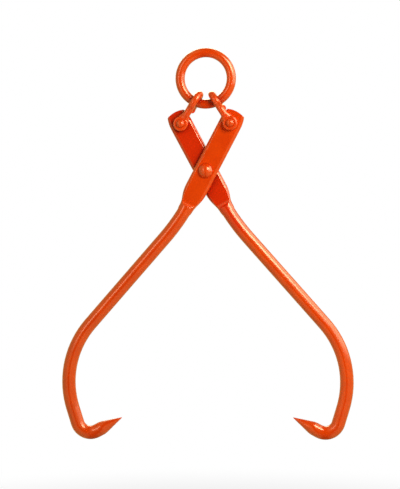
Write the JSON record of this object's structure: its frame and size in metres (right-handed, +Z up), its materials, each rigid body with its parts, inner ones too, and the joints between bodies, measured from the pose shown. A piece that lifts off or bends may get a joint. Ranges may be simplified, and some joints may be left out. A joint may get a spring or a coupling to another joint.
{
  "type": "skidding tongs",
  "caption": "Skidding tongs: two crossed hooked arms riveted at one pivot, hung by short links from a lifting ring, to grip and drag a log.",
  "frame": {"origin": "centre of the lifting ring, where a hook or chain takes hold", "axes": "+Z up along the hanging load line, +X to the right seen from the front, +Y to the back along the rivets"},
  "size_m": [0.4096, 0.0428, 0.5488],
  "materials": {
    "ring_paint": "gloss orange enamel on forged steel",
    "link_paint": "gloss orange enamel on forged steel",
    "arm_paint": "gloss orange enamel on forged steel",
    "rivet_paint": "gloss orange enamel on forged steel"
  },
  "bodies": {
    "ring": {"lift_ring": "ring_paint"},
    "left_link": {"left_link": "link_paint"},
    "rear_arm": {"rear_arm": "arm_paint", "pivot_rivet": "rivet_paint", "left_link_rivet": "rivet_paint"},
    "front_arm": {"front_arm": "arm_paint", "right_link_rivet": "rivet_paint"},
    "right_link": {"right_link": "link_paint"}
  },
  "joints": [
    {"name": "left_link_on_ring", "type": "hinge", "parent": "ring", "child": "left_link", "pos_m": [-0.0085, 0, -0.02261], "axis": [0, 1, 0], "range_deg": [-26.87, 22.92]},
    {"name": "rear_arm_on_left_link", "type": "hinge", "parent": "left_link", "child": "rear_arm", "pos_m": [-0.035, 0, -0.0637], "axis": [0, 1, 0], "range_deg": [-36.98, 43.36]},
    {"name": "arm_pivot", "type": "hinge", "parent": "rear_arm", "child": "front_arm", "pos_m": [0, 0, -0.12981], "axis": [0, 1, 0], "range_deg": [-34, 29]},
    {"name": "right_link_on_front_arm", "type": "hinge", "parent": "front_arm", "child": "right_link", "pos_m": [0.035, 0, -0.0637], "axis": [0, 1, 0], "range_deg": [-32.05, 37.58]}
  ],
  "couplings": [
    {"joint": "left_link_on_ring", "follows": "arm_pivot", "ratio": 0.79},
    {"joint": "rear_arm_on_left_link", "follows": "arm_pivot", "ratio": -1.275},
    {"joint": "right_link_on_front_arm", "follows": "arm_pivot", "ratio": -1.105}
  ]
}
